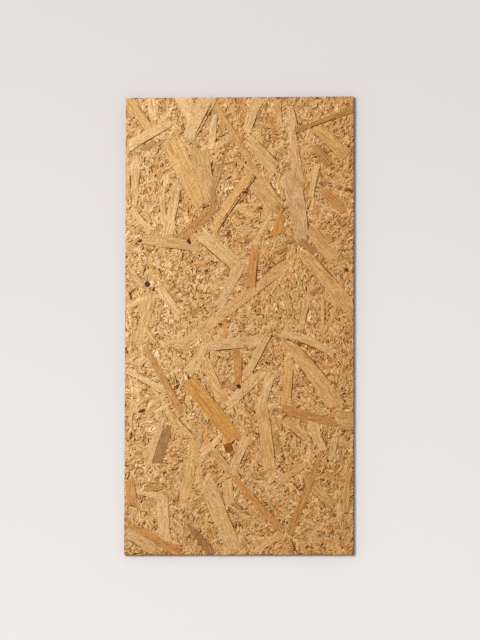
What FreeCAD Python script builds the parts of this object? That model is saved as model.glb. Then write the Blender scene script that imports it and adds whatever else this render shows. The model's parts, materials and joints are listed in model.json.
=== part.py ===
"""OSB board: one pressed panel of wood strands and glue, cut square, lying flat.

Units are millimetres. The board's frame:
  origin  centre of the underside, on the floor
  +X      across the board, along its short side
  +Y      along the board, its long side
  +Z      up, through the thickness

A board is pressed as one piece and sawn to size, so it is one solid. Its strands are
pressed flush with one another, so the faces are flat and the sawn edges are square.
"""
import FreeCAD, Part
import Sketcher
import os

DRIVING_SIZES = (
    ("board_width", 305.0, "short side, one foot"),
    ("board_length", 610.0, "long side, two feet"),
    ("board_thickness", 11.0, "pressed thickness, a common stock size"),
    ("arris_break", 0.4, "how far the sawn corners are worn back along each face"),
)

doc = FreeCAD.newDocument("osb_board")

# ---------------------------------------------------------------- driving sizes
sizes = doc.addObject("Spreadsheet::Sheet", "sizes")
for row, (alias, value, meaning) in enumerate(DRIVING_SIZES, start=1):
    sizes.set(f"A{row}", alias)
    sizes.set(f"B{row}", str(value))
    sizes.set(f"C{row}", meaning)
    sizes.setAlias(f"B{row}", alias)
doc.recompute()


def origin_plane(body, role):
    """One of the body's own three base planes, found by its role."""
    return next(feature for feature in body.Origin.OriginFeatures if feature.Role == role)


def add_centred_rectangle(sketch, width_cell, length_cell):
    """Draw a closed rectangle about the sketch's origin, its two sizes bound to cells.

    Two opposite corners are held symmetric about the origin, so either size can change
    and the rectangle stays centred.
    """
    half_width = sizes.get(width_cell) / 2
    half_length = sizes.get(length_cell) / 2
    corners = [
        FreeCAD.Vector(-half_width, -half_length, 0),
        FreeCAD.Vector(half_width, -half_length, 0),
        FreeCAD.Vector(half_width, half_length, 0),
        FreeCAD.Vector(-half_width, half_length, 0),
    ]
    sides = [
        sketch.addGeometry(Part.LineSegment(corners[i], corners[(i + 1) % 4]), False)
        for i in range(4)
    ]
    near, right, far, left = sides
    start_point, end_point, origin = 1, 2, (-1, 1)
    for this_side, next_side in zip(sides, sides[1:] + sides[:1]):
        sketch.addConstraint(
            Sketcher.Constraint("Coincident", this_side, end_point, next_side, start_point)
        )
    for side in (near, far):
        sketch.addConstraint(Sketcher.Constraint("Horizontal", side))
    for side in (right, left):
        sketch.addConstraint(Sketcher.Constraint("Vertical", side))
    sketch.addConstraint(
        Sketcher.Constraint("Symmetric", near, start_point, far, start_point, *origin)
    )
    width = sketch.addConstraint(
        Sketcher.Constraint("DistanceX", near, start_point, near, end_point, 2 * half_width)
    )
    length = sketch.addConstraint(
        Sketcher.Constraint("DistanceY", right, start_point, right, end_point, 2 * half_length)
    )
    sketch.setExpression(f"Constraints[{width}]", f"sizes.{width_cell}")
    sketch.setExpression(f"Constraints[{length}]", f"sizes.{length_cell}")


# ---------------------------------------------------------------- board
# The panel is sawn from a pressed mat: a rectangle, raised by the thickness.
board = doc.addObject("PartDesign::Body", "board")
board.Label = "board"
board.Placement = FreeCAD.Placement()

outline = board.newObject("Sketcher::SketchObject", "board_outline")
outline.AttachmentSupport = [(origin_plane(board, "XY_Plane"), "")]
outline.MapMode = "FlatFace"
add_centred_rectangle(outline, "board_width", "board_length")
doc.recompute()

panel = board.newObject("PartDesign::Pad", "board_panel")
panel.Profile = outline
panel.setExpression("Length", "sizes.board_thickness")
doc.recompute()

# The saw leaves sharp corners, which handling wears back by a fraction of a millimetre.
worn_arris = board.newObject("PartDesign::Chamfer", "board_worn_arris")
worn_arris.Base = (panel, [f"Edge{i + 1}" for i in range(len(panel.Shape.Edges))])
worn_arris.setExpression("Size", "sizes.arris_break")
board.Tip = worn_arris
doc.recompute()

# ---------------------------------------------------------------- check and export
for part_object in doc.Objects:
    if {"Invalid", "Error"} & set(part_object.State):
        raise RuntimeError(f"{part_object.Name} did not build: {part_object.State}")

os.makedirs("parts", exist_ok=True)
for body in (board,):
    if body.Shape.isNull() or not body.Shape.isValid():
        raise RuntimeError(f"{body.Label} has no valid shape")
    body.Shape.exportStep(f"parts/{body.Label}.step")
    box = body.Shape.BoundBox
    print(
        f"{body.Label}: {len(body.Shape.Solids)} solid, "
        f"{box.XLength:.1f} x {box.YLength:.1f} x {box.ZLength:.1f} mm"
    )
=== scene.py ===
# %% [markdown]
# # A board of pressed wood strands
#
# Oriented strand board is a mat of thin wood strands, wetted with glue, pressed hot into one stiff
# panel and sawn to size. Seen close, its face is a heap that was squeezed flat: wide strands lie on
# smaller ones, with a crumb of chips in the hollows between them.
#
# One flat box with a painted pattern would be quicker, but its pattern would have no depth and its
# sawn edge no layers. So the heap is built as it is pressed: a crumbly core, then chips, then
# strands, each one a thin solid of its own shape, and all of them flush with the press plate.
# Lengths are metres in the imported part's frame: X across, Y along, Z up from the underside.

# %% Load the measured frame
import json
import math

import bpy
import numpy as np
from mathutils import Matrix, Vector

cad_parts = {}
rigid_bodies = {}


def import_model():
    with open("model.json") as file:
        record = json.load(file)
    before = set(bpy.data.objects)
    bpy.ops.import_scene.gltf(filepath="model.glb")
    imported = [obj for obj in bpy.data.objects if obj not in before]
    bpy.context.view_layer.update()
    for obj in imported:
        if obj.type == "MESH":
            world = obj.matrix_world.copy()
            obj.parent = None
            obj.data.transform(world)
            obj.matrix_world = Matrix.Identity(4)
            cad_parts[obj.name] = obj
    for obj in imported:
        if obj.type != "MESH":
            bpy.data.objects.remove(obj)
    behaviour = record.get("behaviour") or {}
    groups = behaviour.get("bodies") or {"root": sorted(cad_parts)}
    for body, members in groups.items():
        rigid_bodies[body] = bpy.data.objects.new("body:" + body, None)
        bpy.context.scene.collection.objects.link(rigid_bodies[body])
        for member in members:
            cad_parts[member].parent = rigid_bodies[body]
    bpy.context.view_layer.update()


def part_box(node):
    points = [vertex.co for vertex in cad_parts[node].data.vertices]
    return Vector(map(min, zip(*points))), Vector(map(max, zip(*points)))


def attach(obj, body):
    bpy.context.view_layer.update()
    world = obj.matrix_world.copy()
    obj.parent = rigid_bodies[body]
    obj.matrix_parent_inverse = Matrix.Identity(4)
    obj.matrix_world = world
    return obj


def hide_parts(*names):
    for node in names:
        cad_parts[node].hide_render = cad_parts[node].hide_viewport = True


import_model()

MM = 0.001
board_low, board_high = (np.array(corner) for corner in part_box("board"))
board_width, board_length, board_thickness = (board_high - board_low) / MM
print(f"board {board_width:.0f} x {board_length:.0f} x {board_thickness:.0f} mm")

# %% [markdown]
# ## The colours of the wood
#
# Strands are cut from many logs, so a board mixes sapwood that is nearly cream, plain tan wood,
# orange heartwood and pieces that bark or water has stained brown or grey. Each colour is named
# once here, as a painter would mix it, and every piece below picks from these names. The shader
# wants linear light, so the helper undoes the curve that screens use.


# %% Named colours
def screen_colour(red, green, blue):
    """Linear light of a screen colour: each channel out of 255, raised along the sRGB curve."""
    channel = np.array([red, green, blue]) / 255
    return np.where(channel <= 0.04045, channel / 12.92, ((channel + 0.055) / 1.055) ** 2.4)


MIXED = {
    "straw": (231, 187, 131),
    "cream": (217, 170, 114),
    "pale": (212, 164, 107),
    "ash": (206, 160, 108),
    "tan": (206, 155, 95),
    "golden": (211, 158, 93),
    "orange": (199, 137, 72),
    "honey": (205, 151, 88),
    "amber": (199, 137, 66),
    "brown": (187, 130, 72),
    "rose": (191, 136, 81),
    "umber": (170, 120, 72),
    "grey": (181, 132, 80),
    "bark": (163, 116, 66),
    # russet and dark are also used as painted shade: dark in the slits, in the lines beside strands
    # and in the dark chips and slivers, russet in the slivers
    "russet": (146, 78, 20),
    "dark": (92, 46, 8),
    "knot": (72, 44, 27),
}
WOOD = {name: screen_colour(*channels) for name, channels in MIXED.items()}
print(len(WOOD), "wood colours")

# %% [markdown]
# ## One wafer, and many at once
#
# Every bit of the board is a wafer: long, thin, a little bent, with ragged sides and ends that are
# cut square, cut askew or torn to a point. A wafer is a sheet of points in two directions, s along
# it and t across it, with walls below. The same sum makes one wafer or thousands, because numpy
# works it out for the whole heap together. A wide strand is a slat with a flat bottom. A chip is so
# small that a keel under its middle is enough, and that saves faces.


# %% Where the corners of a wafer's faces are
def wafer_faces(columns, rows, feet):
    """Faces of one wafer as lists of its own point numbers, walls first and the top last.

    The top is a grid, columns along by rows across. Two feet are lines of points under the long
    sides, which make a flat bottom. One foot is a line under the middle, which makes a keel.
    """
    top = np.arange(columns * rows).reshape(columns, rows)
    foot = columns * rows + np.arange(columns * feet).reshape(columns, feet)
    right, left = foot[:, 0], foot[:, -1]
    spans = range(columns - 1)
    faces = [(top[i, 0], right[i], right[i + 1], top[i + 1, 0]) for i in spans]
    faces += [(top[i + 1, -1], left[i + 1], left[i], top[i, -1]) for i in spans]
    if feet == 2:
        faces += [(right[i], left[i], left[i + 1], right[i + 1]) for i in spans]
    faces += [(*top[0], *foot[0][::-1]), (*foot[-1], *top[-1][::-1])]
    faces += [
        (top[i, j], top[i + 1, j], top[i + 1, j + 1], top[i, j + 1])
        for i in spans
        for j in range(rows - 1)
    ]
    return faces


print("faces of a strand:", len(wafer_faces(9, 7, 2)), "and of a chip:", len(wafer_faces(2, 2, 1)))


# %% The run of a wafer
def run_between(start, end):
    """The way from each start to its end: whole step, length, and unit steps along and across."""
    step = end - start
    length = np.linalg.norm(step, axis=1)
    along = step / length[:, None]
    across = np.stack([-along[:, 1], along[:, 0]], axis=1)
    return step, length, along, across


# %% The shape of many wafers
PINCH_SPAN = 0.22  # share of a wafer's length over which an end narrows
GRAIN_SPREAD = 1000  # mm over which the wafers' places in the grain are spread, so that none match


def with_feet(grid, feet):
    """Points of each wafer in a row: its grid, then its two long sides or the middle line."""
    foot = grid[:, :, [0, -1]] if feet == 2 else grid.mean(axis=2, keepdims=True)
    flat = [part.reshape(len(grid), -1, grid.shape[-1]) for part in (grid, foot)]
    return np.concatenate(flat, axis=1)


def wafer_points(heap, columns, rows, feet, seed):
    """Points of every wafer of a heap, in mm, and the place of each point in the wafer's grain.

    s goes from 0 to 1 along a wafer, as half of 1 minus the cosine of a half turn, and t from -1
    to 1 across, as a sine, so both are closer together near the rim, where the shape is.
    The middle line runs straight from start to end, plus bow times 4 s (1 - s) sideways.
    Half the width goes evenly from the first to the second width, pinched near each end, and
    roughened at random by ragged. Skew slides the two sides along, so that an end is cut askew,
    and fray moves the points of an end along at random, so that it looks torn.
    The height is the level, plus rise times (s - 1/2), plus roll times t, lower by edge_drop
    at the rim, and nothing passes the ceiling, where the press plate was.
    """
    rng = np.random.default_rng(seed)
    count = len(heap["level"])
    s = (1 - np.cos(np.pi * np.arange(columns) / (columns - 1))) / 2
    t = np.sin(np.linspace(-np.pi / 2, np.pi / 2, rows))

    _, length, tangent, sideways = run_between(heap["start"], heap["end"])

    near_start = np.clip(1 - s / PINCH_SPAN, 0, 1) ** 2
    near_end = np.clip(1 - (1 - s) / PINCH_SPAN, 0, 1) ** 2
    pinch = 1 - heap["pinch"][:, :1] * near_start - heap["pinch"][:, 1:] * near_end
    half = (heap["width"][:, :1] * (1 - s) + heap["width"][:, 1:] * s) / 2 * pinch
    rough = 1 + heap["ragged"][:, None, None] * rng.uniform(-1, 1, (count, columns, 2))
    side = (t > 0).astype(int)
    across = t * half[:, :, None] * rough[:, :, side]
    bend = heap["bow"][:, None] * 4 * s * (1 - s)
    slide = across * (heap["skew"][:, :1] * (1 - s) + heap["skew"][:, 1:] * s)[:, :, None]
    fray = rng.normal(0, 1, (count, columns, rows)) * heap["fray"][:, None, None]
    at_end = (near_start + near_end == 1)[:, None]

    run = length[:, None, None] * s[:, None] + slide + fray * at_end
    reach = across + bend[:, :, None]
    plan = (
        heap["start"][:, None, None]
        + run[..., None] * tangent[:, None, None]
        + reach[..., None] * sideways[:, None, None]
    )
    rim = (np.abs(t) == 1) | at_end
    height = (
        heap["level"][:, None, None]
        + heap["rise"][:, None, None] * (s[:, None] - 0.5)
        + heap["roll"][:, None, None] * t
        - heap["edge_drop"] * rim
    )
    height = np.minimum(height, heap["ceiling"][:, None, None])
    top = np.concatenate([plan, height[..., None]], axis=3)

    points = with_feet(top, feet)
    points[:, columns * rows:, 2] -= heap["thick"]
    apart = rng.uniform(0, GRAIN_SPREAD, (count, 3))
    grain = with_feet(np.stack([run, across], axis=3), feet)
    depth = np.broadcast_to(apart[:, None, 2:], (*grain.shape[:2], 1))
    return points, np.concatenate([grain + apart[:, None, :2], depth], axis=2)


# %% [markdown]
# ## From a heap to an object
#
# A heap is worked out flat, as if on a bench: u and v in the plane and w up from it. Three small
# functions then carry it to where it belongs, on the top face, on the underside or on one of the
# sawn edges. Turning the heap, and never mirroring it, keeps every face looking outwards.
# Each piece also carries its own colour, its place in the grain and a flat map for bakes.


# %% Carry a heap to the board
CUT_MARGIN = 0.08  # strands end this far inside the saw line, in mm, so nothing stands past it
SQUEEZE = 0.05  # mm before the cut that hold whatever a strand had past it
SQUEEZE_REACH = 10  # mm past the cut over which most of that band is filled


def sawn_off(places, low, high):
    """Saw off at two lines: what lies past a line is squeezed into the last SQUEEZE before it.

    A place that is p mm past the start of that band moves to SQUEEZE times
    (1 - exp(-p / SQUEEZE_REACH)) beyond it, so a face that lay past the line keeps a sliver of
    area and never becomes a bare line.
    """
    middle = (low + high) / 2
    free = (high - low) / 2 - CUT_MARGIN - SQUEEZE
    reach = np.abs(places - middle)
    past = np.maximum(reach - free, 0)
    kept = np.minimum(reach, free) + SQUEEZE * (1 - np.exp(-past / SQUEEZE_REACH))
    return middle + np.sign(places - middle) * kept


def trimmed(points, low_u, high_u, low_v, high_v):
    """Saw a heap off at a rectangle."""
    sawn = points.copy()
    sawn[..., 0] = sawn_off(points[..., 0], low_u, high_u)
    sawn[..., 1] = sawn_off(points[..., 1], low_v, high_v)
    return sawn


def sawn_panel(points):
    """Saw a face's heap off at the board's own outline."""
    return trimmed(points, -board_width / 2, board_width / 2, -board_length / 2, board_length / 2)


def on_top(points):
    """u goes to X, v to Y and w up from the top face."""
    return sawn_panel(points) * MM + np.array([0, 0, board_high[2]])


def on_underside(points):
    """The top face turned over about Y: u goes to -X, v to Y and w down from the underside."""
    return sawn_panel(points) * MM * np.array([-1, 1, -1]) + np.array([0, 0, board_low[2]])


MAP_BORDER = 0.005  # share of the flat map left free round a face


def face_map(places):
    """Flat map of a face: X and Y of each point as shares of the board's two sides."""
    share = (places[..., :2] - board_low[:2]) / (board_high[:2] - board_low[:2])
    return MAP_BORDER + (1 - 2 * MAP_BORDER) * share


# %% Make the object
def object_from(name, places, faces, flat_map, finish, colour, grain):
    """One joined mesh of like wafers: every wafer has the same faces, numbered on from the last."""
    count, per_wafer = places.shape[:2]
    corners = np.concatenate([np.array(face) for face in faces])
    first = np.arange(count)[:, None] * per_wafer
    loops = (corners + first).ravel().astype(np.int32)
    sides = np.tile([len(face) for face in faces], count)
    starts = np.cumsum(sides) - sides

    mesh = bpy.data.meshes.new(name)
    mesh.vertices.add(count * per_wafer)
    mesh.vertices.foreach_set("co", places.astype(np.float32).ravel())
    mesh.loops.add(len(loops))
    mesh.loops.foreach_set("vertex_index", loops)
    mesh.polygons.add(len(sides))
    mesh.polygons.foreach_set("loop_start", starts.astype(np.int32))
    mesh.update(calc_edges=True)
    carry(mesh, flat_map.reshape(-1, 2)[loops], colour, grain)
    return settle(name, mesh, finish)


def carry(mesh, corner_map, colour, grain):
    """Put a piece's flat map on its corners, and its colour and grain place on its points."""
    flat_layer = mesh.uv_layers.new(name="OFBake")
    flat_layer.uv.foreach_set("vector", corner_map.astype(np.float32).ravel())
    tone = np.concatenate([colour, np.ones((*colour.shape[:-1], 1))], axis=-1)
    tone_layer = mesh.attributes.new("tone", "FLOAT_COLOR", "POINT")
    tone_layer.data.foreach_set("color", tone.astype(np.float32).ravel())
    grain_layer = mesh.attributes.new("grain", "FLOAT_VECTOR", "POINT")
    grain_layer.data.foreach_set("vector", (grain * MM).astype(np.float32).ravel())


def into_scene(name, data):
    """Make an object of a mesh, a lamp or a camera, and put it in the scene."""
    thing = bpy.data.objects.new(name, data)
    bpy.context.scene.collection.objects.link(thing)
    return thing


SHARP = math.radians(25)


def settle(name, mesh, finish):
    """Give the mesh its finish, put it in the scene and let it ride on the board.

    Corners sharper than SHARP stay crisp, so a flat top is lit as flat right up to its rim.
    """
    mesh.set_sharp_from_angle(angle=SHARP)
    mesh.materials.append(finish)
    piece = into_scene(name, mesh)
    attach(piece, "root")
    mesh.calc_loop_triangles()
    print(f"{name}: {len(mesh.vertices)} points, {len(mesh.loop_triangles)} triangles")
    return piece


# %% [markdown]
# ## The finish of cut wood
#
# A strand is sliced along the grain, so its face shows fine streaks that run its whole length,
# shorter fibres that broke and lifted, and dark dashes where a pore was cut open. A wave pattern
# would be too regular for that. Noise that is squeezed across the strand and drawn out along it
# gives all three, each with its own stretch. The fibres also raise the surface a little, and the
# streaks change its sheen, which is dull on pressed wood. The noise reads each wafer's own grain
# place, so the streaks follow every strand, and no two strands share a pattern.


# %% Streaked wood
def noise(tree, source, scale, detail, stretch):
    """Noise over a vector: features about 1 / scale metres wide, longer where stretch is small."""
    mapping = tree.nodes.new("ShaderNodeMapping")
    mapping.inputs["Scale"].default_value = stretch
    tree.links.new(source, mapping.inputs["Vector"])
    texture = tree.nodes.new("ShaderNodeTexNoise")
    texture.inputs["Scale"].default_value = scale
    texture.inputs["Detail"].default_value = detail
    tree.links.new(mapping.outputs["Vector"], texture.inputs["Vector"])
    return texture.outputs["Fac"]


def ramp(tree, source, stops):
    """Turn a number into a colour: stops are (place, colour)."""
    node = tree.nodes.new("ShaderNodeValToRGB")
    tree.links.new(source, node.inputs["Fac"])
    band = node.color_ramp
    while len(band.elements) < len(stops):
        band.elements.new(0.5)
    for element, (place, colour) in zip(band.elements, stops):
        element.position = place
        element.color = (*colour, 1)
    return node.outputs["Color"]


def tinted(tree, base, tint):
    """Multiply one colour by another."""
    node = tree.nodes.new("ShaderNodeMix")
    node.data_type = "RGBA"
    node.blend_type = "MULTIPLY"
    node.inputs["Factor"].default_value = 1
    tree.links.new(base, node.inputs["A"])
    tree.links.new(tint, node.inputs["B"])
    return node.outputs["Result"]


# Scale, detail and stretch of the four noises in the wood.
LONG_STREAKS = (950, 4, (0.06, 1, 1))
SHORT_FIBRES = (900, 3, (0.40, 1, 1))
WIDE_BANDS = (190, 2, (0.12, 1, 1))
OPEN_PORES = (620, 2, (0.4, 1, 1))
FAINT_BANDS = [(0.3, (0.95, 0.92, 0.88)), (0.7, (1.05, 1.07, 1.10))]
SMOOTHEST, ROUGHEST = 0.62, 0.88
BUMP_STRENGTH = 0.6


def wood_finish(name, streak, fibre, pores, bump_height, gloss):
    """Cut wood: the piece's tone, times long streaks, short fibres, faint bands and dark pores.

    streak, fibre and pores are the ramps of colour that those patterns multiply the tone by.
    """
    finish = bpy.data.materials.new(name)
    finish.use_nodes = True
    tree = finish.node_tree
    nodes, links = tree.nodes, tree.links
    shader = nodes["Principled BSDF"]
    tone = nodes.new("ShaderNodeAttribute")
    tone.attribute_name = "tone"
    grain = nodes.new("ShaderNodeAttribute")
    grain.attribute_name = "grain"
    place = grain.outputs["Vector"]

    streaks = noise(tree, place, *LONG_STREAKS)
    fibres = noise(tree, place, *SHORT_FIBRES)
    bands = noise(tree, place, *WIDE_BANDS)
    open_pores = noise(tree, place, *OPEN_PORES)
    colour = tone.outputs["Color"]
    tints = ((streaks, streak), (fibres, fibre), (bands, FAINT_BANDS), (open_pores, pores))
    for pattern, stops in tints:
        colour = tinted(tree, colour, ramp(tree, pattern, stops))
    links.new(colour, shader.inputs["Base Color"])

    dullness = nodes.new("ShaderNodeMapRange")
    dullness.inputs["To Min"].default_value = SMOOTHEST
    dullness.inputs["To Max"].default_value = ROUGHEST
    links.new(streaks, dullness.inputs["Value"])
    links.new(dullness.outputs["Result"], shader.inputs["Roughness"])
    shader.inputs["Specular IOR Level"].default_value = gloss

    bump = nodes.new("ShaderNodeBump")
    bump.inputs["Strength"].default_value = BUMP_STRENGTH
    bump.inputs["Distance"].default_value = bump_height
    links.new(fibres, bump.inputs["Height"])
    links.new(bump.outputs["Normal"], shader.inputs["Normal"])
    return finish


SOFT_STREAKS = [(0.36, (0.75, 0.63, 0.47)), (0.50, (1.0, 1.0, 1.0)), (0.64, (1.13, 1.19, 1.31))]
FINE_FIBRES = [(0.34, (0.74, 0.62, 0.46)), (0.50, (1.0, 1.0, 1.0)), (0.66, (1.16, 1.24, 1.38))]
FEW_PORES = [(0.28, (0.50, 0.32, 0.15)), (0.32, (1, 1, 1))]
strand_wood = wood_finish("strand_wood", SOFT_STREAKS, FINE_FIBRES, FEW_PORES, 0.10 * MM, 0.15)

ROUGH_STREAKS = [(0.36, (0.66, 0.47, 0.24)), (0.50, (1.0, 1.0, 1.0)), (0.64, (1.22, 1.33, 1.52))]
FAINT_FIBRES = [(0.36, (0.93, 0.90, 0.85)), (0.64, (1.05, 1.07, 1.10))]
MANY_PORES = [(0.31, (0.30, 0.15, 0.04)), (0.35, (1, 1, 1))]
chip_wood = wood_finish("chip_wood", ROUGH_STREAKS, FAINT_FIBRES, MANY_PORES, 0.15 * MM, 0.04)

# %% [markdown]
# ## The core
#
# Under the strands lies wood that was crushed to crumbs. It shows as the floor of every hollow and
# as the wall behind the sawn edge. A box would be too smooth, so its top and bottom are sheets of
# points whose height wanders, and its sides join them, which keeps the core one closed solid.
# Heights wander as a sum of waves that cross in every direction, which never repeats on the board.


# %% Waves that wander
def wander(u, v, wavelength, seed, waves=24):
    """Smooth random height over a plane, about -1 to 1: a sum of cosines that run all ways.

    Their wavelengths lie near the one asked for. The sum is divided by the root of their number.
    """
    rng = np.random.default_rng(seed)
    turn = rng.uniform(0, 2 * np.pi, waves)
    pitch = 2 * np.pi / (wavelength * rng.uniform(0.7, 1.5, waves))
    phase = rng.uniform(0, 2 * np.pi, waves)
    total = np.zeros(np.broadcast(u, v).shape)
    for angle, steps, start in zip(turn, pitch, phase):
        total += np.cos(steps * (np.cos(angle) * u + np.sin(angle) * v) + start)
    return total / math.sqrt(waves)


CORE_DEPTH = 1.0  # mm from the press plate down to the middle of the crumb's surface
CORE_INSET = 0.45  # mm from the saw line in to the core's side wall
CORE_STEPS = (90, 180)  # faces across and along
CORE_LAYERS = 14  # faces up the side wall
CRUMB_WAVES = ((0.05, 22), (0.06, 9), (0.06, 5))  # height and wavelength in mm
WALL_DENT = 0.16  # mm that the side wall wanders in and out
WALL_BACK = 0.12  # mm that it stands back on average


def crumb_height(u, v, seed):
    """Height of the crumb's surface below the press plate, in mm: waves of three sizes."""
    waves = [high * wander(u, v, wide, seed + i) for i, (high, wide) in enumerate(CRUMB_WAVES)]
    return sum(waves) - CORE_DEPTH


def core_mesh():
    """A closed skin: a sheet on top, a sheet below, and a wall of layers all round between them.

    The wall's height goes evenly from the lower sheet's rim to the upper one's, and it wanders
    in and out in waves that are long along the edge and short up it, as crushed layers are.
    """
    across, lengthwise = CORE_STEPS
    u = np.linspace(-1, 1, across + 1)[:, None] * (board_width / 2 - CORE_INSET)
    v = np.linspace(-1, 1, lengthwise + 1)[None, :] * (board_length / 2 - CORE_INSET)
    u, v = np.broadcast_arrays(u, v)
    top_z = board_thickness + crumb_height(u, v, 11)
    bottom_z = -crumb_height(-u, v, 31)
    sheet = np.arange(u.size).reshape(u.shape)

    out_u, out_v = np.arange(across), np.arange(lengthwise)
    ring_i = np.concatenate([out_u, 0 * out_v + across, across - out_u, 0 * out_v])
    ring_j = np.concatenate([0 * out_u, out_v, 0 * out_u + lengthwise, lengthwise - out_v])
    ring = len(ring_i)
    level = np.arange(1, CORE_LAYERS)[:, None] / CORE_LAYERS
    ring_u, ring_v = u[ring_i, ring_j], v[ring_i, ring_j]
    wall_z = bottom_z[ring_i, ring_j] * (1 - level) + top_z[ring_i, ring_j] * level
    travel = np.arange(ring) * (2 * (board_width + board_length) / ring)
    dent = WALL_DENT * wander(travel[None, :], 9 * wall_z, 16, 51) - WALL_BACK
    wall_u = ring_u * (1 + dent / (board_width / 2))
    wall_v = ring_v * (1 + dent / (board_length / 2))
    wall = np.stack([wall_u, wall_v, wall_z], axis=2)

    points = np.concatenate([
        np.stack([u, v, bottom_z], axis=2).reshape(-1, 3),
        np.stack([u, v, top_z], axis=2).reshape(-1, 3),
        wall.reshape(-1, 3),
    ])
    here, right, corner, ahead = sheet[:-1, :-1], sheet[1:, :-1], sheet[1:, 1:], sheet[:-1, 1:]
    bottom = np.stack([here, ahead, corner, right], axis=2).reshape(-1, 4)
    top = np.stack([here, right, corner, ahead], axis=2).reshape(-1, 4) + u.size
    rows = np.concatenate([
        sheet[ring_i, ring_j][None, :],
        2 * u.size + np.arange((CORE_LAYERS - 1) * ring).reshape(CORE_LAYERS - 1, ring),
        sheet[ring_i, ring_j][None, :] + u.size,
    ])
    onward = np.roll(rows, -1, axis=1)
    sides = np.stack([rows[:-1], onward[:-1], onward[1:], rows[1:]], axis=2).reshape(-1, 4)
    return points * MM, bottom, top, sides, ring


SHEET_WIDE = 0.44  # share of the core's flat map that its top takes up, and its underside too
UNDER_START = 0.45  # where the underside starts on it
WALL_START, WALL_PITCH, WALL_WIDE = 0.905, 0.048, 0.04  # where the wall's two strips lie on it


def core_map(points, bottom, top, sides, ring):
    """Flat map of the core: top, underside, and two strips for the wall, side by side."""
    share = face_map(points)
    underside = share[bottom] * [SHEET_WIDE, 1] + [UNDER_START, 0]
    upper = share[top] * [SHEET_WIDE, 1]
    layer, column = np.divmod(np.arange(len(sides)), ring)
    strip, place = np.divmod(column, ring // 2)
    rise = np.stack([layer, layer, layer + 1, layer + 1], axis=1) / CORE_LAYERS
    travel = np.stack([place, place + 1, place + 1, place], axis=1) / (ring // 2)
    wall_u = WALL_START + WALL_PITCH * strip[:, None] + WALL_WIDE * rise
    wall_v = MAP_BORDER + (1 - 2 * MAP_BORDER) * travel
    return np.concatenate([underside, np.stack([wall_u, wall_v], axis=2), upper])


core_points, core_bottom, core_top, core_sides, core_ring = core_mesh()
core_faces = np.concatenate([core_bottom, core_sides, core_top])
mesh = bpy.data.meshes.new("core")
mesh.from_pydata(core_points, [], core_faces)
speckle = np.random.default_rng(5)
CRUMB_TONES = ("brown", "tan", "golden", "orange", "umber", "tan")
crumb_tones = np.stack([WOOD[name] for name in CRUMB_TONES])
picked = crumb_tones[speckle.integers(0, len(crumb_tones), len(core_points))]
DEEP_SHADE = [0.66, 0.44, 0.24]  # painted shade: the crumb at the floor of the hollows and in the core's wall is darkened and reddened as if in shade
core_tone = picked * DEEP_SHADE * speckle.uniform(0.75, 1.1, (len(core_points), 1))
flat_map = core_map(core_points, core_bottom, core_top, core_sides, core_ring)
carry(mesh, flat_map, core_tone, core_points / MM)
core = settle("core", mesh, chip_wood)
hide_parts("board")
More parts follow.
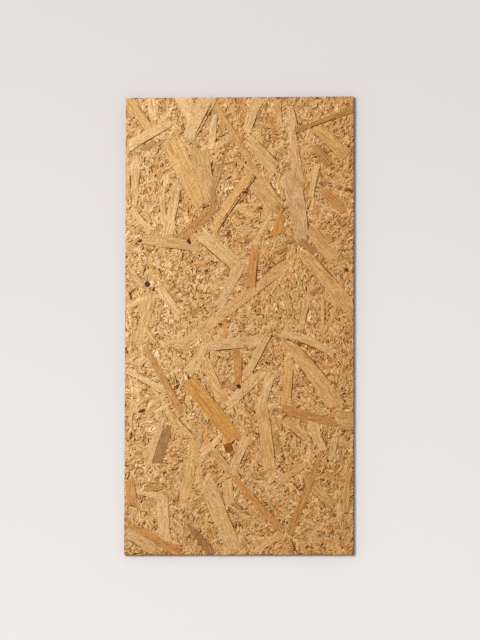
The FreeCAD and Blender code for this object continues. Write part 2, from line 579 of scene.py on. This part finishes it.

# %% [markdown]
# ## The wide strands of the face
#
# The eye reads this board by its wide strands: which way each one lies, where they cross and what
# colour they are. So these are listed, as a person would note them down with a rule on the
# board: colour, then the two ends in mm from the board's middle, then the width at each end, and
# the bow of the two that are plainly bent. The order is the order of the heap, so each strand lies
# on those named before it. The rows at the end are not strands: a long thin dark one is painted
# shade, the dark of a slit where two strands don't quite meet, the knot row is a knot, and the
# short dark ones are small dark spots.

# %% The strands as listed, from the lowest to the highest
FACE_STRANDS = [
    ("tan", -54, 234, -40, 168, 26, 22),
    ("tan", -97, -112, -60, -150, 9, 8),
    ("tan", 22, 192, 48, 158, 24, 24),
    ("tan", 60, -126, 90, -150, 12, 12),
    ("tan", 100, -214, 126, -240, 12, 14),
    ("brown", 112, 178, 140, 150, 12, 10),
    ("tan", -36, -168, -12, -196, 12, 9),
    ("golden", 66, -48, 62, -108, 12, 13),
    ("pale", 50, 301, 53, 262, 9, 8),
    ("ash", 66, 292, 72, 264, 10, 12),
    ("tan", -150, 216, -147, 170, 6, 6),
    ("pale", -150, -60, -96, -90, 7, 8),
    ("tan", -152, -46, -131, -34, 8, 7),
    ("pale", -148, -274, -110, -300, 16, 14),
    ("tan", -150, 78, -128, 52, 10, 8),
    ("tan", -128, 8, -112, -24, 7, 5),
    ("brown", 100, 240, 120, 214, 9, 14),
    ("grey", -17, -79, 1, -87, 9, 6),
    ("grey", -14, -230, 4, -243, 8, 7),
    ("bark", 50, 96, 62, 102, 5, 4),
    ("bark", 62, 110, 75, 112, 5, 4),
    ("grey", -129, 236, -112, 245, 8, 8),
    ("cream", -117, 303, -115, 279, 14, 12),
    ("honey", -150, 302, -120, 262, 13, 13),
    ("pale", -146, 158, -122, 132, 9, 8),
    ("pale", -139, 226, -141, 160, 15, 7),
    ("pale", -149, 240, -92, 272, 17, 9),
    ("tan", -128, 116, -54, 104, 15, 14),
    ("pale", -52, 122, 2, 74, 19, 18),
    ("golden", -93, 247, -50, 160, 30, 18),
    ("cream", -76, 306, -62, 270, 24, 8),
    ("cream", -41, 312, -69, 250, 22, 14),
    ("cream", -33, 281, -38, 236, 6, 12),
    ("pale", -83, 188, -98, 117, 11, 15),
    ("pale", -103, 176, -101, 140, 9, 6),
    ("grey", -37, 186, -36, 150, 9, 7),
    ("grey", -27, 215, -36, 184, 11, 11),
    ("brown", -33, 157, -79, 117, 11, 13),
    ("pale", 13, 248, 47, 207, 13, 21),
    ("cream", 24, 305, 9, 259, 16, 12),
    ("ash", 69, 268, 80, 190, 9, 17),
    ("ash", 66, 206, 84, 111, 25, 19),
    ("cream", 104, 214, 95, 172, 9, 6),
    ("golden", 103, 263, 143, 224, 15, 18),
    ("brown", 152, 287, 70, 258, 7, 5),
    ("tan", 94, 131, 127, 88, 15, 16),
    ("golden", 13, 200, -34, 131, 11, 9),
    ("honey", -34, 298, 32, 191, 8, 9),
    ("amber", 55, 152, 50, 121, 3, 19),
    ("cream", 42, 147, 13, 101, 7, 8),
    ("honey", -65, 238, -56, 229, 9, 7),
    ("russet", 141, 180, 150, 177, 3, 5),
    ("tan", 84, 97, 150, 20, 16, 20),
    ("umber", 82, 113, 101, 95, 8, 10),
    ("pale", 92, 42, 82, -8, 9, 7),
    ("tan", 112, 42, 111, -14, 5, 5),
    ("pale", -106, 52, -79, 14, 13, 9),
    ("pale", -151, 24, -122, 38, 8, 8),
    ("tan", -116, 46, -135, -24, 16, 12),
    ("orange", 22, 108, 15, 48, 12, 13),
    ("ash", 3, 82, -27, 24, 14, 12),
    ("tan", 66, 82, -80, -28, 11, 16),
    ("pale", -38, -10, -66, -63, 4, 18),
    ("orange", -3, -32, 0, -81, 14, 6),
    ("pale", 37, -14, 9, -68, 11, 11),
    ("pale", -42, -27, 32, -20, 14, 15),
    ("tan", 62, -22, 128, -108, 14, 25, 4),
    ("pale", 56, -11, 126, -40, 11, 9, 5),
    ("tan", -47, -42, -23, -98, 11, 14),
    ("brown", -125, -28, -76, -116, 8, 10),
    ("cream", 42, -66, 28, -110, 12, 12),
    ("tan", 28, -98, 41, -192, 17, 16),
    ("pale", 34, -61, -15, -107, 13, 13),
    ("amber", -67, -74, -5, -153, 20, 21),
    ("tan", 132, -126, 154, -128, 22, 26),
    ("brown", 58, -111, 129, -131, 12, 11),
    ("pale", 98, -128, 113, -167, 14, 11),
    ("tan", 92, -184, 53, -214, 7, 6),
    ("pale", 128, -150, 122, -178, 9, 7),
    ("tan", 147, -194, 142, -250, 8, 8),
    ("pale", -101, -122, -124, -187, 9, 11),
    ("bark", -93, -134, -110, -183, 8, 15),
    ("golden", -57, -151, -74, -233, 15, 14),
    ("cream", -21, -144, -50, -171, 8, 9),
    ("russet", -16, -157, -11, -169, 11, 11),
    ("pale", 11, -150, -8, -199, 13, 11),
    ("pale", -14, -205, -11, -238, 13, 12),
    ("brown", -100, -213, -124, -219, 8, 6),
    ("pale", -136, -222, -101, -230, 5, 12),
    ("cream", -103, -228, -98, -289, 16, 15),
    ("orange", -145, -204, -141, -240, 11, 15),
    ("pale", -44, -205, -4, -301, 22, 20),
    ("brown", 109, -171, 68, -277, 7, 11),
    ("orange", -7, -202, 59, -273, 7, 11),
    ("pale", 57, -280, 23, -300, 8, 7),
    ("orange", -147, -264, -78, -303, 8, 14),
    ("bark", -68, -264, -35, -304, 6, 12),
    ("dark", -30, 301, -61, 246, 1.1, 0.8),
    ("dark", -147, 233, -92, 265, 1, 0.7),
    ("dark", 152, 283, 72, 254, 0.8, 0.5),
    ("dark", 21, 196, -28, 127, 1.2, 1),
    ("dark", 108, 211, 100, 178, 0.9, 0.8),
    ("dark", 44, -13, 20, -60, 1.1, 0.8),
    ("dark", 24, 86, 22, 50, 1.3, 1.1),
    ("dark", -85, -68, -84, -86, 1.3, 0.9),
    ("dark", 60, 88, 30, 67, 1, 0.8),
    ("dark", 62, -18, 92, -32, 1, 0.8),
    ("knot", -125, 58, -120, 53, 7, 7),
    ("dark", 141, 75, 145, 71, 5, 4),
    ("dark", -69, 115, -65, 109, 5, 4),
    ("dark", -2, -79, 2, -84, 6, 5),
    ("dark", -45, 74, -43, 71, 3, 3),
]
print(len(FACE_STRANDS), "strands laid by hand")


# %% [markdown]
# A rule gives only where a strand lies. What the press and the knife did to it is left to chance:
# a slight bend, ragged sides, an end cut askew. The chance is seeded, so the board comes out the
# same each time. The plate presses the last strand flush, and the first lies deepest.
# A slit gets very ragged sides, so it opens and closes, and a knot's ends are pinched round.


# %% A heap of strands
FACE_RELIEF = 0.10  # mm from the highest wide strand down to the lowest
PRESSED_STAIN = [0.955, 0.94, 0.91]  # hot pressing darkens and yellows the wide strands a little


def heap_of_strands(rows, seed):
    """Turn rows into a heap: their ends and widths as measured, and small chance in the rest.

    Levels rise evenly from the lowest strand to the highest. A row's last number, if it has one
    more than the rest, is its bow, and otherwise the bow is a small random one.
    """
    rng = np.random.default_rng(seed)
    measured = np.array([row[1:7] for row in rows], float)
    count = len(rows)
    bow = rng.normal(0, 0.8, count)
    bow = [row[7] if len(row) > 7 else chance for row, chance in zip(rows, bow)]
    width = measured[:, 4:6]
    slit = width.max(axis=1) < 2
    _, length, _, _ = run_between(measured[:, 0:2], measured[:, 2:4])
    knot = (length < 1.5 * width.max(axis=1))[:, None]
    level = np.linspace(-FACE_RELIEF, -0.02, count)
    return {
        "start": measured[:, 0:2],
        "end": measured[:, 2:4],
        "width": width,
        "bow": np.array(bow),
        "pinch": np.where(knot, 0.6, rng.uniform(0.0, 0.25, (count, 2))),
        "skew": np.where(knot, 0, rng.uniform(-0.45, 0.45, (count, 2))),
        "ragged": np.where(slit, 0.7, rng.uniform(0.02, 0.09, count)),
        "fray": np.where(knot[:, 0], 0.3, rng.uniform(0.6, 1.8, count)),
        "level": level,
        "ceiling": level + 0.01,
        "rise": rng.normal(0, 0.05, count),
        "roll": rng.normal(0, 0.02, count),
        "edge_drop": 0.05,
        "thick": 0.62,
        "colour": np.array([WOOD[row[0]] for row in rows]) * PRESSED_STAIN,
    }


def lay(name, heap, shape, seed, place, flat_map, finish, tone_spread):
    """Work out a heap, carry it to its place and make it one object. Each wafer's tone varies."""
    columns, rows, feet = shape
    points, grain = wafer_points(heap, columns, rows, feet, seed)
    rng = np.random.default_rng(seed + 1)
    bright = np.exp(rng.normal(0, tone_spread, (len(points), 1)))
    colour = np.repeat((heap["colour"] * bright)[:, None], points.shape[1], axis=1)
    places = place(points)
    faces = wafer_faces(columns, rows, feet)
    return object_from(name, places, faces, flat_map(places), finish, colour, grain)


STRAND_SHAPE = (9, 7, 2)
face_heap = heap_of_strands(FACE_STRANDS, 101)
lay("face_strands", face_heap, STRAND_SHAPE, 111, on_top, face_map, strand_wood, 0.03)

# %% [markdown]
# Down the side that faces away from the light, a strand stands a hair off the bed, and the gap
# there is dark. It is the line that draws a strand's outline. An open gap a tenth of a millimetre
# high could be modelled, but it would hold too little shade, so a dark wafer lies half under that
# side as painted shade. It follows the strand's bend, because any part of a parabola
# is a parabola with less bow.


# %% Painted shade down the shaded side of each strand
SHADED_SIDE = np.array([0.7, -0.7])
SHADE_LINE_WIDTH = 1.15  # mm, of which the outer half shows


def painted_shade_beside(heap, chosen, seed):
    """One dark wafer of painted shade along part of each chosen strand's shaded side.

    Its ends lie on the strand's side line at shares s of the length, moved by the strand's own
    bend, bow times 4 s (1 - s). Between them the bow shrinks by the square of the share covered.
    """
    rng = np.random.default_rng(seed)
    start, end, width, bow = (heap[key][chosen] for key in ("start", "end", "width", "bow"))
    count = len(start)
    share = np.stack([rng.uniform(0.08, 0.40, count), rng.uniform(0.60, 0.92, count)], axis=1)
    step, _, _, sideways = run_between(start, end)
    shaded = np.sign(sideways @ SHADED_SIDE)[:, None]
    half = (width[:, :1] * (1 - share) + width[:, 1:] * share) / 2
    offset = shaded * half + bow[:, None] * 4 * share * (1 - share)
    ends = start[:, None] + share[..., None] * step[:, None]
    ends = ends + offset[..., None] * sideways[:, None]
    level = np.full(count, -FACE_RELIEF - 0.01)
    return {
        "start": ends[:, 0],
        "end": ends[:, 1],
        "width": np.full((count, 2), SHADE_LINE_WIDTH),
        "bow": bow * (share[:, 1] - share[:, 0]) ** 2,
        "pinch": np.full((count, 2), 0.5),
        "skew": np.zeros((count, 2)),
        "ragged": np.full(count, 0.6),
        "fray": np.full(count, 0.3),
        "level": level,
        "ceiling": level,
        "rise": np.zeros(count),
        "roll": np.zeros(count),
        "edge_drop": 0.005,
        "thick": 0.4,
        "colour": np.tile(1.4 * WOOD["dark"], (count, 1)),
    }


# Rows that are not strands: slits painted dark as shade, a knot, small dark spots and russet marks.
SHADE_AND_FLAW_COLOURS = ("dark", "knot", "russet")
wood_rows = np.array([row[0] not in SHADE_AND_FLAW_COLOURS for row in FACE_STRANDS])
SHADE_LINE_SHAPE = (9, 3, 1)
# Painted shade: a dark line beside each wide strand, on the side away from the lamp.
face_gaps = painted_shade_beside(face_heap, wood_rows, 121)
lay("face_gaps", face_gaps, SHADE_LINE_SHAPE, 122, on_top, face_map, strand_wood, 0.3)

# %% [markdown]
# ## Narrow strands and chips
#
# Between the wide strands lie narrow ones, mostly buried, and the crumb that fills every hollow.
# Nobody could note down thousands of chips, so chance strews them. Purely random spots leave bald
# patches and clumps, so each chip gets a cell of a grid and falls anywhere inside it. Directions
# wander slowly over the board, because the former that drops the mat combs nearby chips alike.
# A spot that would lie hidden under a wide strand is left out.


# %% Strew a heap by chance
SIDE_MARGIN, END_MARGIN = 1.2, 4  # mm in from a strand's sides and ends where hiding starts
SKEW_MARGIN = 0.35  # a wide end is often cut askew, so its margin grows with its half-width
TRIAL_SPOTS = 3000  # strewn first, only to learn what share of the board lies hidden
COMBED_TURN, COMBED_SWAY = 62, 38  # degrees from X, and how far patches sway from that
COMBED_PATCH = 130  # mm across a patch of chips that lie alike


def under_strands(spots, heap):
    """Which spots lie under a wide strand, further in than the margins from its sides and ends."""
    step, length, _, _ = run_between(heap["start"], heap["end"])
    offset = spots[:, None] - heap["start"][None]
    run = (offset * step).sum(2) / length
    share = run / length
    gap = np.linalg.norm(offset - share[..., None] * step, axis=2)
    half = (heap["width"][:, 0] * (1 - share) + heap["width"][:, 1] * share) / 2
    inset = END_MARGIN + SKEW_MARGIN * half
    within_ends = (run > inset) & (run < length - inset)
    return (within_ends & (gap < half - SIDE_MARGIN)).any(axis=1)


def even_spots(count, rng):
    """Spots spread evenly, as sieved chips fall: one at random in each cell of a grid."""
    aspect = board_length / board_width
    columns = round(math.sqrt(count / aspect))
    rows = round(columns * aspect)
    cell = np.stack(np.meshgrid(np.arange(columns), np.arange(rows)), axis=-1).reshape(-1, 2)
    spots = (cell + rng.uniform(0, 1, cell.shape)) / [columns, rows] - 0.5
    return rng.permutation(spots) * [board_width, board_length]


def strewn(count, seed, wide, lengths, slimness, levels, palette, shares, tilt):
    """A heap of about count wafers, of log-spread lengths, in the open between the wide strands."""
    rng = np.random.default_rng(seed)
    hidden_share = under_strands(even_spots(TRIAL_SPOTS, rng), wide).mean()
    spots = even_spots(count / (1 - hidden_share), rng)
    spots = spots[~under_strands(spots, wide)]
    count = len(spots)
    typical, spread, most = lengths
    length = np.minimum(typical * np.exp(rng.normal(0, spread, count)), most)
    sway = COMBED_SWAY * wander(spots[:, 0], spots[:, 1], COMBED_PATCH, seed + 7)
    turn = np.radians(COMBED_TURN + sway) + rng.normal(0, 0.6, count)
    half_run = np.stack([np.cos(turn), np.sin(turn)], axis=1) * length[:, None] / 2
    width = length[:, None] * rng.uniform(*slimness, (count, 2))
    level = np.sort(rng.uniform(*levels, count))
    names = list(palette)
    picked = rng.choice(len(names), count, p=np.array(shares) / sum(shares))
    return {
        "start": spots - half_run,
        "end": spots + half_run,
        "width": width,
        "bow": rng.normal(0, 0.04, count) * length,
        "pinch": rng.uniform(0.0, 0.8, (count, 2)),
        "skew": rng.normal(0, 0.5, (count, 2)),
        "ragged": rng.uniform(0.05, 0.25, count),
        "fray": 0.04 * length,
        "level": level,
        "ceiling": np.minimum(level + 0.12, -FACE_RELIEF - 0.02),
        "rise": rng.normal(0, tilt, count),
        "roll": rng.normal(0, tilt / 2, count),
        "edge_drop": 0.03,
        "thick": 0.45,
        "colour": np.array([WOOD[name] for name in names])[picked],
    }


# %% [markdown]
# The crumb has five sorts of wafer, from deep to high. Narrow strands and flakes give calm spots.
# Low chips hide the core, and high chips make the rough bed that the eye sees. Slivers lie
# between them, finer than a saw's tooth: the dark and russet ones are painted shade in the cracks
# between chips, and the straw ones are bright flecks. Each sort is a recipe: how many, how long
# (typical length, spread, longest), how slim, and how deep below the plate.

# %% The recipes of the crumb
NARROW = dict(count=360, lengths=(24, 0.4, 60), slimness=(0.10, 0.24), levels=(-0.34, -0.20))
LOW_CHIPS = dict(count=13000, lengths=(4.6, 0.40, 13), slimness=(0.3, 0.6), levels=(-0.90, -0.50))
HIGH_CHIPS = dict(count=19500, lengths=(5, 0.42, 13), slimness=(0.28, 0.55), levels=(-0.52, -0.18))
FLAKES = dict(count=1300, lengths=(10, 0.35, 22), slimness=(0.24, 0.5), levels=(-0.42, -0.26))
SLIVERS = dict(count=9000, lengths=(3.4, 0.40, 8), slimness=(0.14, 0.32), levels=(-0.20, -0.14))

NARROW_TONES = dict(palette=("tan", "golden", "pale", "brown", "orange"), shares=(5, 4, 4, 2, 2))
# Dark and russet slivers are painted shade in the cracks between chips; straw ones are bright
# flecks.
SLIVER_TONES = dict(palette=("dark", "russet", "straw"), shares=(6, 4, 3))
# The few dark chips are painted shade of the pits between chips.
CHIP_TONES = dict(
    palette=("pale", "tan", "golden", "orange", "brown", "umber", "dark", "cream", "straw"),
    shares=(29, 25, 18, 5, 5, 1, 1, 13, 4),
)

SLAT_SHAPE = (7, 5, 2)  # columns along, rows across, feet
CHIP_SHAPE = (2, 2, 1)
FLAKE_SHAPE = (4, 3, 1)

# Piece, the seeds of its places and of its shapes, recipe, tones, tilt, shape, finish, and how much
# the tone varies from wafer to wafer on the face and on the back.
CRUMB = [
    ("narrow_strands", 201, 211, NARROW, NARROW_TONES, 0.2, SLAT_SHAPE, strand_wood, (0.05, 0.08)),
    ("low_chips", 301, 311, LOW_CHIPS, CHIP_TONES, 0.2, CHIP_SHAPE, chip_wood, (0.10, 0.10)),
    ("high_chips", 351, 361, HIGH_CHIPS, CHIP_TONES, 0.2, CHIP_SHAPE, chip_wood, (0.10, 0.10)),
    ("flakes", 361, 366, FLAKES, CHIP_TONES, 0.1, FLAKE_SHAPE, strand_wood, (0.06, 0.06)),
    ("slivers", 371, 381, SLIVERS, SLIVER_TONES, 0.05, CHIP_SHAPE, chip_wood, (0.15, 0.15)),
]


# %% Strew the face
SIDES = ("face", "back")
SEEDS_PER_SIDE = 300  # how far the seeds of the back lie from those of the face


def strew_crumb(side, wide, place):
    """Strew every sort of crumb between the wide strands of one side of the board."""
    for name, seed, lay_seed, recipe, tones, tilt, shape, finish, spreads in CRUMB:
        later = SEEDS_PER_SIDE * side
        heap = strewn(seed=seed + later, wide=wide, **recipe, **tones, tilt=tilt)
        piece = f"{SIDES[side]}_{name}"
        lay(piece, heap, shape, lay_seed + later, place, face_map, finish, spreads[side])


strew_crumb(0, face_heap, on_top)

# %% [markdown]
# ## The underside
#
# The lower press plate makes a second face of the same kind. It could be the top face turned over,
# but a copy is plain to see when two boards lie side by side. So its wide strands are strewn too,
# in the sizes and colours of those on top, and the crumb between them follows the same recipes.


# %% Strew the underside
BACK_STRANDS = 130


def wide_by_chance(count, seed):
    """Rows like the listed ones: random middle, direction, length, width and colour."""
    rng = np.random.default_rng(seed)
    names = [row[0] for row in FACE_STRANDS if row[0] not in SHADE_AND_FLAW_COLOURS]
    rows = []
    for index in range(count):
        middle = rng.uniform(-0.5, 0.5, 2) * [board_width, board_length]
        reach = 0.5 * rng.uniform(38, 96)
        turn = rng.uniform(0, math.pi)
        step = np.array([math.cos(turn), math.sin(turn)]) * reach
        width = rng.uniform(7, 19)
        taper = rng.uniform(0.8, 1.2)
        name = names[index % len(names)]
        rows.append((name, *(middle - step), *(middle + step), width, width * taper))
    return rows


back_heap = heap_of_strands(wide_by_chance(BACK_STRANDS, 401), 402)
lay("back_strands", back_heap, STRAND_SHAPE, 411, on_underside, face_map, strand_wood, 0.04)
# Painted shade: a dark line beside each strand of the underside, as on the top face.
back_gaps = painted_shade_beside(back_heap, np.full(BACK_STRANDS, True), 421)
lay("back_gaps", back_gaps, SHADE_LINE_SHAPE, 422, on_underside, face_map, strand_wood, 0.3)
strew_crumb(1, back_heap, on_underside)

# %% [markdown]
# ## The sawn edges
#
# The saw cuts through the heap, so an edge shows the strands end on: thin lenses of wood in layers,
# each a fraction of a millimetre thick, with dark gaps where they did not quite close. A striped
# texture on the core's wall could stand for them, but it would leave the edge flat. The lenses
# are wafers again, laid on each of the four edges, with u along the edge and v up the thickness.

# %% Lay the sawn layers
LAYER = 0.68  # mm of thickness that one pressed strand takes up
LAYER_TONES = {
    "palette": ("tan", "golden", "brown", "orange", "rose", "umber", "pale"),
    "shares": (0.26, 0.22, 0.18, 0.12, 0.08, 0.06, 0.08),
}
FACE_CLEAR = 0.15  # mm that the layers keep away from the planes of the two faces
SAWN_STAIN_AND_SHADE = [0.53, 0.46, 0.39]  # partly end grain that is darker than the face, partly painted shade of sawn sides that face away from the light

EDGES = [  # where an edge starts, which way it runs, which way it looks, how long it is
    ((0.5, -0.5), (0, 1), (1, 0), board_length),
    ((0.5, 0.5), (-1, 0), (0, 1), board_width),
    ((-0.5, 0.5), (0, -1), (-1, 0), board_length),
    ((-0.5, -0.5), (1, 0), (0, -1), board_width),
]


def heap_of_layers(length, seed):
    """Lenses in layers up an edge: in each layer they follow on, of random length, with gaps."""
    rng = np.random.default_rng(seed)
    layers = int((board_thickness - 0.5) / LAYER)
    mean_run = 17
    per_layer = int(length / mean_run) + 2
    run = rng.uniform(0.45, 1.6, (layers, per_layer)) * mean_run
    begin = np.cumsum(run, axis=1) - run - rng.uniform(0, mean_run, (layers, 1))
    finish = begin + run * rng.uniform(0.9, 1.12, run.shape)
    middle = 0.45 + (np.arange(layers) + 0.5)[:, None] * LAYER + rng.normal(0, 0.09, run.shape)
    tip = middle + rng.normal(0, 0.16, run.shape)
    keep = ((begin < length - 1) & (finish > 1) & (rng.uniform(0, 1, run.shape) > 0.07)).ravel()
    start = np.stack([begin.ravel(), middle.ravel()], axis=1)[keep]
    end = np.stack([finish.ravel(), tip.ravel()], axis=1)[keep]
    start[:, 0] = np.clip(start[:, 0], 0, length - 1.5)
    end[:, 0] = np.clip(end[:, 0], start[:, 0] + 1.0, length)
    count = len(start)
    level = rng.uniform(-0.30, -0.10, count)
    palette = np.array([WOOD[name] for name in LAYER_TONES["palette"]])
    picked = rng.choice(len(palette), count, p=LAYER_TONES["shares"])
    return {
        "start": start,
        "end": end,
        "width": LAYER * rng.uniform(0.75, 1.2, (count, 2)),
        "bow": rng.normal(0, 0.14, count),
        "pinch": rng.uniform(0.5, 0.95, (count, 2)),
        "skew": rng.normal(0, 0.8, (count, 2)),
        "ragged": rng.uniform(0.05, 0.25, count),
        "fray": np.full(count, 0.05),
        "level": level,
        "ceiling": np.full(count, -0.06),
        "rise": rng.normal(0, 0.08, count),
        "roll": rng.normal(0, 0.03, count),
        "edge_drop": 0.04,
        "thick": 0.35,
        "colour": palette[picked] * SAWN_STAIN_AND_SHADE,
    }


def on_edge(index):
    """Carry a heap to one edge: u runs along it, v goes up, and w looks out from the saw line."""
    corner, run, look, length = EDGES[index]
    origin = np.array([corner[0] * board_width, corner[1] * board_length, 0]) * MM
    axes = np.array([[*run, 0], [0, 0, 1], [*look, 0]], float)

    def place(points):
        """Saw the heap off at the edge's outline and carry it there."""
        sawn = trimmed(points, 0, length, FACE_CLEAR, board_thickness - FACE_CLEAR)
        return sawn * MM @ axes + origin

    return place


EDGE_STRIPS = 6  # strips of the flat map: two for each long edge and one for each short one
STRIP_ENDS = 0.06  # share of a strip left free at each end
STRIP_SIDES = 0.1  # share of a strip left free along each side


def edge_map(index):
    """Flat map of one edge: a strip as long as the map is wide, or two for a long edge."""
    corner, run, _, length = EDGES[index]
    strips = 2 if length > board_width * 1.5 else 1
    first = (0, 2, 3, 5)[index]
    strip_length = length / strips

    def flat(places):
        """Place along the strip and up it, with a border round each strip."""
        from_corner = places[..., :2] / MM - np.array(corner) * [board_width, board_length]
        travel = from_corner @ np.array(run, float)
        strip = np.clip(np.floor(travel.mean(axis=1, keepdims=True) / strip_length), 0, strips - 1)
        share = (travel - strip * strip_length) / strip_length
        height = places[..., 2] / MM / board_thickness
        column = STRIP_ENDS + (1 - 2 * STRIP_ENDS) * share
        row = first + strip + STRIP_SIDES + (1 - 2 * STRIP_SIDES) * height
        return np.stack([column, row / EDGE_STRIPS], axis=-1)

    return flat


LENS_SHAPE = (5, 2, 1)
EDGE_NAMES = ("right_edge_layers", "far_edge_layers", "left_edge_layers", "near_edge_layers")
for index, name in enumerate(EDGE_NAMES):
    layers = heap_of_layers(EDGES[index][3], 701 + index)
    lay(name, layers, LENS_SHAPE, 711 + index, on_edge(index), edge_map(index), chip_wood, 0.10)

# %% [markdown]
# ## The studio
#
# A pale, plain floor fills the view. One wide lamp stands up to the left of the board and gives the
# relief its soft shadows, and an even sky fills them, as the white walls of a studio do. A second
# lamp, nearly overhead, lights the floor, so that a board this thin has only a thin line of shadow
# beside it. A cool strip hangs low over the far left part of the board, as window light would.
# Light linking tells each lamp what it lights: a collection of things that receive its light.
# Wood colours are kept as they are by the plain screen curve, with no film look over them.


# %% Floor
FADE_HALF = 0.7  # metres from the middle over which the paint changes
# Painted light: the paint near the camera is lighter than far away, standing in for light that
# falls off across the floor.
NEAR_PAINT = (0.925, 0.899, 0.890)
FAR_PAINT = (0.764, 0.735, 0.732)


def floor_paint():
    """Dull pale paint with painted light: lighter towards the near side, in a smooth step along Y.
    """
    finish = bpy.data.materials.new("floor_paint")
    finish.use_nodes = True
    tree = finish.node_tree
    nodes, links = tree.nodes, tree.links
    shader = nodes["Principled BSDF"]
    place = nodes.new("ShaderNodeTexCoord")
    split = nodes.new("ShaderNodeSeparateXYZ")
    links.new(place.outputs["Object"], split.inputs["Vector"])
    share = nodes.new("ShaderNodeMapRange")
    share.interpolation_type = "SMOOTHSTEP"
    share.inputs["From Min"].default_value = -FADE_HALF
    share.inputs["From Max"].default_value = FADE_HALF
    links.new(split.outputs["Y"], share.inputs["Value"])
    paint = ramp(tree, share.outputs["Result"], [(0, NEAR_PAINT), (1, FAR_PAINT)])
    links.new(paint, shader.inputs["Base Color"])
    shader.inputs["Roughness"].default_value = 0.7
    shader.inputs["Specular IOR Level"].default_value = 0.2
    return finish


FLOOR_HALF = 8.0  # metres from the middle to the floor's sides
floor_mesh = bpy.data.meshes.new("floor")
floor_mesh.from_pydata(
    [(x * FLOOR_HALF, y * FLOOR_HALF, 0) for x, y in ((-1, -1), (1, -1), (1, 1), (-1, 1))],
    [],
    [(0, 1, 2, 3)],
)
floor_mesh.materials.append(floor_paint())
floor = into_scene("floor", floor_mesh)


# %% Lamps and sky
def aim(thing, target, top=(0, 1, 0)):
    """Turn a lamp or camera so that it looks at a point, with its top towards +Y or as told."""
    back = np.array(thing.location) - np.array(target)
    back = back / np.linalg.norm(back)
    right = np.cross(top, back)
    right = right / np.linalg.norm(right)
    up = np.cross(back, right)
    turn = np.eye(4)
    turn[:3, 0], turn[:3, 1], turn[:3, 2], turn[:3, 3] = right, up, back, thing.location
    thing.matrix_world = [list(column) for column in turn.T]


def area_lamp(name, shape, sides, energy, colour, place, target, lit):
    """An area lamp that looks at a point and lights only the things of one collection."""
    light = bpy.data.lights.new(name, "AREA")
    light.shape = shape
    light.size, light.size_y = sides
    light.energy = energy
    light.color = colour
    lamp = into_scene(name, light)
    lamp.location = place
    lamp.visible_camera = False
    lamp.light_linking.receiver_collection = lit
    aim(lamp, target)


board_pieces = bpy.data.collections.new("board_pieces")
for thing in bpy.data.objects:
    if "tone" in getattr(thing.data, "attributes", []):
        board_pieces.objects.link(thing)
studio_floor = bpy.data.collections.new("studio_floor")
studio_floor.objects.link(floor)

WARM_WHITE = (1.0, 0.99, 0.975)
COOL_BLUE = (0.38, 0.63, 1.0)
MIDDLE = (0, 0, 0)
FAR_LEFT, FAR_LEFT_SPOT = (-0.20, 0.15, 0.17), (-0.03, 0.15, 0)
LAMPS = [  # name, shape, sides, watts, colour, where it stands, what it looks at, what it lights
    ("lamp", "DISK", (2.4, 2.4), 325, WARM_WHITE, (-3.0, 3.0, 4.8), MIDDLE, board_pieces),
    ("floor_lamp", "DISK", (1.6, 1.6), 226, WARM_WHITE, (-1.4, 0.8, 6.0), MIDDLE, studio_floor),
    ("strip", "RECTANGLE", (0.08, 0.8), 0.82, COOL_BLUE, FAR_LEFT, FAR_LEFT_SPOT, board_pieces),
]
for settings in LAMPS:
    area_lamp(*settings)

sky = bpy.data.worlds.new("sky")
sky.use_nodes = True
sky.node_tree.nodes["Background"].inputs["Color"].default_value = (1.0, 0.995, 0.99, 1)
sky.node_tree.nodes["Background"].inputs["Strength"].default_value = 0.40
bpy.context.scene.world = sky
bpy.context.scene.view_settings.view_transform = "Standard"

# %% [markdown]
# ## The camera
#
# The board is seen square on, from far away through a long lens, so its sides stay parallel. The
# camera stands a few degrees to the right and towards the near edge, which just shows the two
# sawn edges that lie in shade. It could hang straight above, but then those two thin dark lines,
# the only sign of the board's thickness, would be lost.

# %% Camera
VIEW_HEIGHT = 0.8504  # metres of floor from the bottom to the top of the picture
CAMERA_DISTANCE = 8.0
LEAN_RIGHT = math.radians(5.2)
LEAN_NEAR = math.radians(4.6)
SENSOR = 36.0
PICTURE_MIDDLE = (0.0012, 0.0070)  # X and Y of the spot on the board that the camera looks at
HAIR_OF_ROLL = (-0.0026, 1, 0)  # which way is up: the board lies a sixth of a degree out of true

camera_data = bpy.data.cameras.new("camera")
camera_data.sensor_width = SENSOR
camera_data.lens = SENSOR * CAMERA_DISTANCE / VIEW_HEIGHT
camera_data.clip_end = 100
camera = into_scene("camera", camera_data)
look_at = np.array([*PICTURE_MIDDLE, board_high[2]])
upright = math.cos(LEAN_RIGHT) * math.cos(LEAN_NEAR)
away = np.array([math.sin(LEAN_RIGHT), -math.sin(LEAN_NEAR), upright])
camera.location = look_at + CAMERA_DISTANCE * away / np.linalg.norm(away)
aim(camera, look_at, top=HAIR_OF_ROLL)
bpy.context.scene.camera = camera
print(f"camera {CAMERA_DISTANCE} m away, lens {camera_data.lens:.0f} mm")
